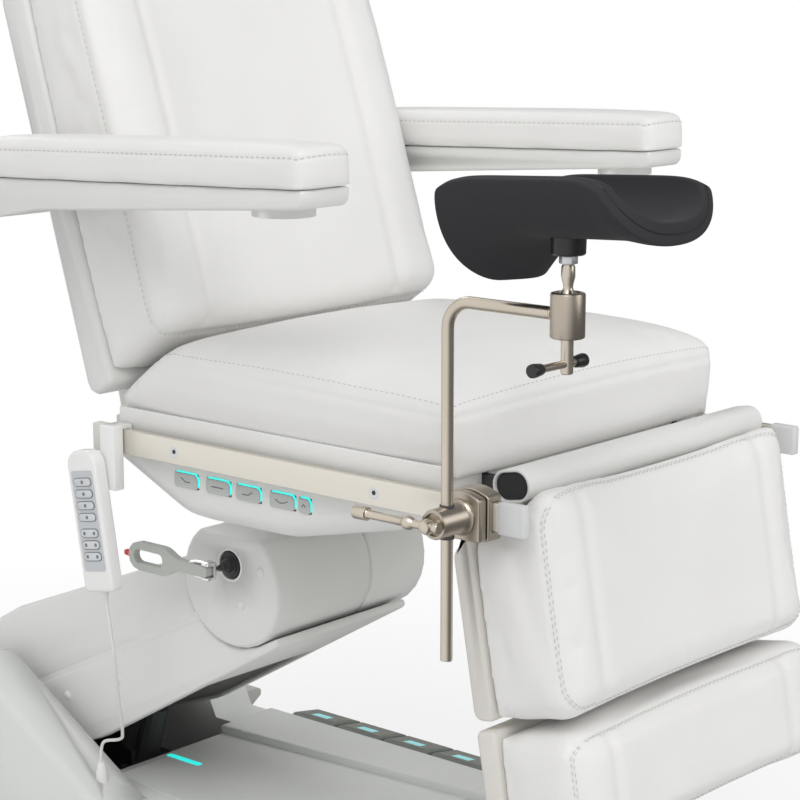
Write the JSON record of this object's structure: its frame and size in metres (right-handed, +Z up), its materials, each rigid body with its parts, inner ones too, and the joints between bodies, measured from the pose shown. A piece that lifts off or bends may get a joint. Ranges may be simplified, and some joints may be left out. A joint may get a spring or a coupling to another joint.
{
  "type": "examination table",
  "caption": "Powered examination table with sectioned cushions, swing lift arm, levelling armrests, foot pedals, handset and a black saddle knee crutch clamped to its side rail.",
  "frame": {"origin": "on the floor under the flat base plate, on the table's centre plane, 49 cm behind the base's front edge", "axes": "+Z up; -Y towards the foot end; -X towards the side rail that carries the knee crutch"},
  "size_m": [0.8618, 1.5245, 1.557],
  "materials": {
    "upholstery": "pale warm grey PU leather over foam, fine grain, stitched seams",
    "shell_grey": "moulded light grey plastic, fine texture",
    "shell_warm": "moulded beige grey plastic",
    "white_plastic": "white moulded plastic",
    "dark_steel": "dark powder coat",
    "rail_steel": "satin steel bar",
    "nickel": "satin champagne nickel",
    "zinc": "zinc plated",
    "chrome": "bright chrome",
    "black_pu": "black moulded polyurethane, fine grain",
    "key_grey": "grey plastic keys",
    "pedal_grey": "dark olive grey plastic"
  },
  "bodies": {
    "base": {"base_plate": "dark_steel", "base_cover": "shell_grey", "lift_pin": "dark_steel", "cord_gland": "white_plastic", "handset_cord": "white_plastic"},
    "pedal_1": {"pedal_1": "pedal_grey"},
    "pedal_2": {"pedal_2": "pedal_grey"},
    "pedal_3": {"pedal_3": "pedal_grey"},
    "pedal_4": {"pedal_4": "pedal_grey"},
    "rear_pedal": {"rear_pedal": "pedal_grey"},
    "actuator": {"lift_actuator": "dark_steel"},
    "actuator_rod": {"lift_rod": "zinc"},
    "lift_arm": {"lift_beam": "dark_steel", "lift_upper_cover": "shell_grey", "lift_lower_cover": "shell_grey"},
    "carrier": {"housing_near": "shell_grey", "housing_far": "shell_grey", "lock_boot": "black_pu"},
    "lever": {"lever_fork": "chrome", "lock_lever": "key_grey"},
    "turntable": {"swivel_plate": "dark_steel"},
    "seat": {"seat_frame": "dark_steel", "seat_pan": "shell_grey", "seat_cushion": "upholstery", "side_rail_near": "rail_steel", "side_rail_far": "rail_steel", "rail_cap_near": "white_plastic", "rail_cap_far": "white_plastic", "back_hinge_pin": "dark_steel", "leg_hinge_pin": "dark_steel", "handset_holder": "white_plastic"},
    "side_key_1": {"side_key_1": "key_grey"},
    "side_key_2": {"side_key_2": "key_grey"},
    "side_key_3": {"side_key_3": "key_grey"},
    "side_key_4": {"side_key_4": "key_grey"},
    "side_key_5": {"side_key_5": "key_grey"},
    "back": {"back_shell": "shell_grey", "back_cushion": "upholstery"},
    "headrest": {"headrest_post": "dark_steel", "headrest_cushion": "upholstery"},
    "arm_near": {"arm_body_near": "shell_grey", "arm_pad_near": "upholstery"},
    "arm_far": {"arm_body_far": "shell_grey", "arm_pad_far": "upholstery"},
    "leg": {"front_bar": "white_plastic", "leg_shell": "shell_warm", "leg_cushion": "upholstery"},
    "foot": {"foot_shell": "shell_warm", "foot_cushion": "upholstery"},
    "clamp": {"rail_clamp": "nickel"},
    "clamp_screw": {"clamp_screw": "nickel", "clamp_bar": "nickel"},
    "crutch": {"crutch_rod": "nickel", "ball_socket": "nickel"},
    "ball": {"ball_stud": "nickel"},
    "pad": {"crutch_pad": "black_pu", "pad_nut": "zinc"},
    "socket_screw": {"socket_screw": "nickel"},
    "socket_bar": {"socket_bar": "nickel"},
    "handset": {"handset": "shell_grey"}
  },
  "joints": [
    {"name": "pedal_1_press", "type": "hinge", "parent": "base", "child": "pedal_1", "pos_m": [0.268, 0.169, 0.066], "axis": [0, 1, 0], "range_deg": [0, 4], "stiffness_Nm_per_rad": 30, "springref_deg": -3.44},
    {"name": "pedal_2_press", "type": "hinge", "parent": "base", "child": "pedal_2", "pos_m": [0.268, 0.067, 0.066], "axis": [0, 1, 0], "range_deg": [0, 4], "stiffness_Nm_per_rad": 30, "springref_deg": -3.44},
    {"name": "pedal_3_press", "type": "hinge", "parent": "base", "child": "pedal_3", "pos_m": [0.268, -0.035, 0.066], "axis": [0, 1, 0], "range_deg": [0, 4], "stiffness_Nm_per_rad": 30, "springref_deg": -3.44},
    {"name": "pedal_4_press", "type": "hinge", "parent": "base", "child": "pedal_4", "pos_m": [0.268, -0.137, 0.066], "axis": [0, 1, 0], "range_deg": [0, 4], "stiffness_Nm_per_rad": 30, "springref_deg": -3.44},
    {"name": "rear_pedal_press", "type": "hinge", "parent": "base", "child": "rear_pedal", "pos_m": [0.268, 0.39, 0.066], "axis": [0, 1, 0], "range_deg": [0, 6], "stiffness_Nm_per_rad": 20, "springref_deg": -3.44},
    {"name": "lift", "type": "hinge", "parent": "base", "child": "lift_arm", "pos_m": [0, 0.45, 0.22], "axis": [-1, 0, 0], "range_deg": [-13, 12], "deforming": ["handset_cord"]},
    {"name": "actuator_swing", "type": "hinge", "parent": "base", "child": "actuator", "pos_m": [0, 0.3, 0.05], "axis": [-1, 0, 0], "range_deg": [-7, 5.5]},
    {"name": "actuator_stroke", "type": "slide", "parent": "actuator", "child": "actuator_rod", "axis": [0, -0.2846, 0.9587], "range_m": [-0.055, 0.042]},
    {"name": "level", "type": "hinge", "parent": "lift_arm", "child": "carrier", "pos_m": [0, -0.055, 0.465], "axis": [-1, 0, 0], "range_deg": [-12, 13]},
    {"name": "lever_turn", "type": "hinge", "parent": "carrier", "child": "lever", "pos_m": [-0.198, -0.058, 0.492], "axis": [1, 0, 0], "range_deg": [-35, 20]},
    {"name": "swivel", "type": "hinge", "parent": "carrier", "child": "turntable", "pos_m": [0, -0.055, 0.535], "axis": [0, 0, 1], "range_deg": [-90, 90], "deforming": ["handset_cord"]},
    {"name": "seat_tilt", "type": "hinge", "parent": "turntable", "child": "seat", "pos_m": [0, -0.055, 0.655], "axis": [-1, 0, 0], "range_deg": [-4, 10], "deforming": ["handset_cord"]},
    {"name": "side_key_1_press", "type": "slide", "parent": "seat", "child": "side_key_1", "axis": [1, 0, 0], "range_m": [0, 0.0015], "stiffness_N_per_m": 800, "springref_m": -0.001},
    {"name": "side_key_2_press", "type": "slide", "parent": "seat", "child": "side_key_2", "axis": [1, 0, 0], "range_m": [0, 0.0015], "stiffness_N_per_m": 800, "springref_m": -0.001},
    {"name": "side_key_3_press", "type": "slide", "parent": "seat", "child": "side_key_3", "axis": [1, 0, 0], "range_m": [0, 0.0015], "stiffness_N_per_m": 800, "springref_m": -0.001},
    {"name": "side_key_4_press", "type": "slide", "parent": "seat", "child": "side_key_4", "axis": [1, 0, 0], "range_m": [0, 0.0015], "stiffness_N_per_m": 800, "springref_m": -0.001},
    {"name": "side_key_5_press", "type": "slide", "parent": "seat", "child": "side_key_5", "axis": [1, 0, 0], "range_m": [0, 0.0015], "stiffness_N_per_m": 800, "springref_m": -0.001},
    {"name": "recline", "type": "hinge", "parent": "seat", "child": "back", "pos_m": [0, 0.0155, 0.7], "axis": [-1, 0, 0], "range_deg": [0, 65]},
    {"name": "headrest_slide", "type": "slide", "parent": "back", "child": "headrest", "axis": [0, 0.2924, 0.9563], "range_m": [0, 0.08]},
    {"name": "arm_near_level", "type": "hinge", "parent": "back", "child": "arm_near", "pos_m": [-0.362, 0.135, 1.0275], "axis": [-1, 0, 0], "range_deg": [-65, 0]},
    {"name": "arm_far_level", "type": "hinge", "parent": "back", "child": "arm_far", "pos_m": [0.362, 0.135, 1.0275], "axis": [-1, 0, 0], "range_deg": [-65, 0]},
    {"name": "leg_raise", "type": "hinge", "parent": "seat", "child": "leg", "pos_m": [0, -0.64, 0.715], "axis": [-1, 0, 0], "range_deg": [0, 80]},
    {"name": "foot_slide", "type": "slide", "parent": "leg", "child": "foot", "axis": [0, -0.1736, -0.9848], "range_m": [0, 0.15]},
    {"name": "clamp_slide", "type": "slide", "parent": "seat", "child": "clamp", "axis": [0, 1, 0], "range_m": [0, 0.18]},
    {"name": "clamp_screw_turn", "type": "hinge", "parent": "clamp", "child": "clamp_screw", "pos_m": [-0.386, -0.638, 0.694], "axis": [1, 0, 0], "range_deg": [-180, 180]},
    {"name": "rod_slide", "type": "slide", "parent": "clamp", "child": "crutch", "axis": [0, 0, 1], "range_m": [-0.15, 0.12]},
    {"name": "ball_tilt", "type": "hinge", "parent": "crutch", "child": "ball", "pos_m": [-0.36, -0.812, 0.9725], "axis": [1, 0, 0], "range_deg": [-5, 15]},
    {"name": "pad_turn", "type": "hinge", "parent": "ball", "child": "pad", "pos_m": [-0.36, -0.812, 1.03], "axis": [0, 0, 1], "range_deg": [-60, 60]},
    {"name": "socket_screw_turn", "type": "hinge", "parent": "crutch", "child": "socket_screw", "pos_m": [-0.36, -0.812, 0.93], "axis": [0, 0, 1], "range_deg": [-180, 180]},
    {"name": "socket_bar_slide", "type": "slide", "parent": "socket_screw", "child": "socket_bar", "axis": [1, 0, 0], "range_m": [-0.006, 0.038]},
    {"name": "handset_lift_off", "type": "slide", "parent": "seat", "child": "handset", "axis": [0, 0, 1], "range_m": [0, 0.04], "deforming": ["handset_cord"]}
  ],
  "couplings": [
    {"joint": "level", "follows": "lift", "ratio": -1},
    {"joint": "actuator_swing", "follows": "lift", "ratio": 0.41},
    {"joint": "actuator_stroke", "follows": "lift", "m_per_rad": 0.193},
    {"joint": "arm_near_level", "follows": "recline", "ratio": -1},
    {"joint": "arm_far_level", "follows": "recline", "ratio": -1}
  ]
}
